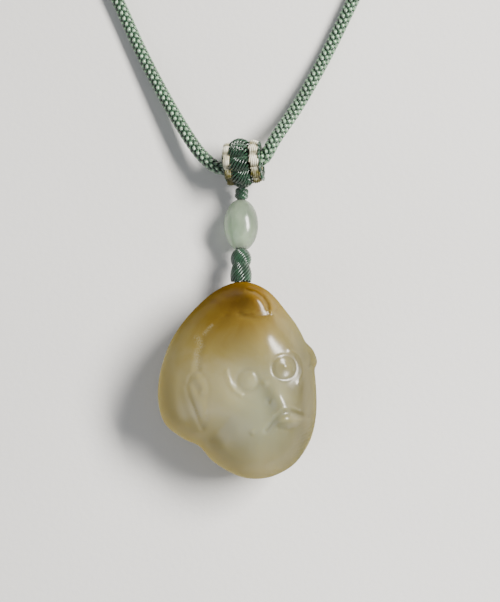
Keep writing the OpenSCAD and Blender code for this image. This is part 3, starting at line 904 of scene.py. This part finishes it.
inward = np.hypot(edge[:, 0] - x, edge[:, 1] - y)
# Painted light of the warm rim, strongest at the lower left and fading to the right and up
glow = bell(inward / glow_wide) * np.clip(glow_most - glow_loss * (x - glow_x), 0, 1)
glow = glow * np.clip((glow_top - y) / glow_full, 0, 1)
frost = sum(bell(from_route(x, y, route) / wide) for wide, route in frosted) * front
pale = bell(np.hypot((x - pale_x) / pale_long, (y - pale_y) / pale_wide)) * front
dark = np.clip((x - shade_x) / shade_full, 0, 1)
gloss = gloss_least + gloss_more * np.clip((rise - gloss_start) / gloss_full, 0, 1) * front
for vert, *place in zip(bm.verts, x, y, z):
    vert.co = Vector(place) * mm

skin_deep = (0.090, 0.046, 0.0015, 1)
skin_gold = (0.150, 0.093, 0.0080, 1)
stone_tan = (0.225, 0.170, 0.045, 1)
stone_grey = (0.292, 0.252, 0.122, 1)
stone_pale = (0.292, 0.297, 0.188, 1)
rim_painted_light = (0.350, 0.276, 0.100, 1)
frost_white = (0.34, 0.31, 0.20, 1)
stone_shade = (0.088, 0.078, 0.034, 1)
stone_finish, tree, shader = new_finish(
    "carved_nephrite", Roughness=0.16, IOR=1.61, Specular_IOR_Level=0.0,
    Coat_IOR=1.61, Coat_Roughness=0.25, Subsurface_Weight=0.95,
    Subsurface_Radius=(1.0, 0.85, 0.5), Subsurface_Scale=5.0 * mm,
)
spot = add_node(tree, "TexCoord")
# The skin's colours follow the distance from the crown, which veins move to and fro
crown_spot = add_node(tree, "Mapping", Location=(0.3 * mm, -4.0 * mm, 0), Scale=(0.85, 1, 0.2))
tree.links.new(spot.outputs["Object"], crown_spot.inputs["Vector"])
far = add_node(tree, "VectorMath")
far.operation = "LENGTH"
tree.links.new(crown_spot.outputs["Vector"], far.inputs[0])
veins = add_node(tree, "TexNoise", Scale=110.0, Detail=6.0, Roughness=0.55, Distortion=0.8)
tree.links.new(spot.outputs["Object"], veins.inputs["Vector"])
drift = add_node(tree, "MapRange", From_Min=0.3, From_Max=0.7, To_Min=-2.0 * mm, To_Max=2.0 * mm)
tree.links.new(veins.outputs["Fac"], drift.inputs["Value"])
moved = add_node(tree, "Math")
tree.links.new(far.outputs["Value"], moved.inputs[0])
tree.links.new(drift.outputs["Result"], moved.inputs[1])
depth = add_node(tree, "MapRange", From_Min=0, From_Max=36 * mm)
tree.links.new(moved.outputs["Value"], depth.inputs["Value"])
body = add_ramp(tree, depth.outputs["Result"], [
    (0.08, skin_deep), (0.22, skin_gold), (0.35, stone_tan), (0.48, stone_grey),
])
warmed = add_blend(tree, add_part(tree, "pale"), body, stone_pale)
# Painted light: a warm, paler rim along the thin lower-left edge
warmed = add_blend(tree, add_part(tree, "glow"), warmed, rim_painted_light)
warmed = add_blend(tree, add_part(tree, "dark"), warmed, stone_shade)
# Where the wheel left it rough, the stone is white in broken strokes, duller and uneven
frost_part = add_part(tree, "frost")
scratches = add_node(tree, "TexNoise", Scale=3600.0, Detail=3.0, Roughness=0.7)
tree.links.new(spot.outputs["Object"], scratches.inputs["Vector"])
broken = add_node(tree, "MapRange", From_Min=0.40, From_Max=0.75, To_Max=0.8)
tree.links.new(scratches.outputs["Fac"], broken.inputs["Value"])
frosty = add_node(tree, "Math")
frosty.operation = "MULTIPLY"
tree.links.new(frost_part, frosty.inputs[0])
tree.links.new(broken.outputs["Result"], frosty.inputs[1])
frosted_stone = add_blend(tree, frosty.outputs["Value"], warmed, frost_white)
tree.links.new(frosted_stone, shader.inputs["Base Color"])
dulled = add_node(tree, "MapRange", To_Min=0.16, To_Max=0.42)
tree.links.new(frosty.outputs["Value"], dulled.inputs["Value"])
tree.links.new(dulled.outputs["Result"], shader.inputs["Roughness"])
polish = add_node(tree, "TexNoise", Scale=260.0, Detail=3.0)
tree.links.new(spot.outputs["Object"], polish.inputs["Vector"])
uneven = add_node(tree, "Math")
uneven.operation = "MULTIPLY_ADD"
tree.links.new(frosty.outputs["Value"], uneven.inputs[0])
uneven.inputs[1].default_value = frost_relief
tree.links.new(polish.outputs["Fac"], uneven.inputs[2])
add_bump(tree, shader, uneven.outputs["Value"], strength=0.05, distance=0.4 * mm)
tree.links.new(shader.inputs["Normal"].links[0].from_socket, shader.inputs["Coat Normal"])
tree.links.new(add_part(tree, "gloss"), shader.inputs["Coat Weight"])
jade_monkey = add_piece("jade_monkey_carved", bm, stone_finish)
kept_numbers = {"pale": pale, "glow": glow, "dark": dark, "frost": frost, "gloss": gloss}
for name, numbers in kept_numbers.items():
    set_number(jade_monkey, name, numbers)
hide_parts("jade_monkey")
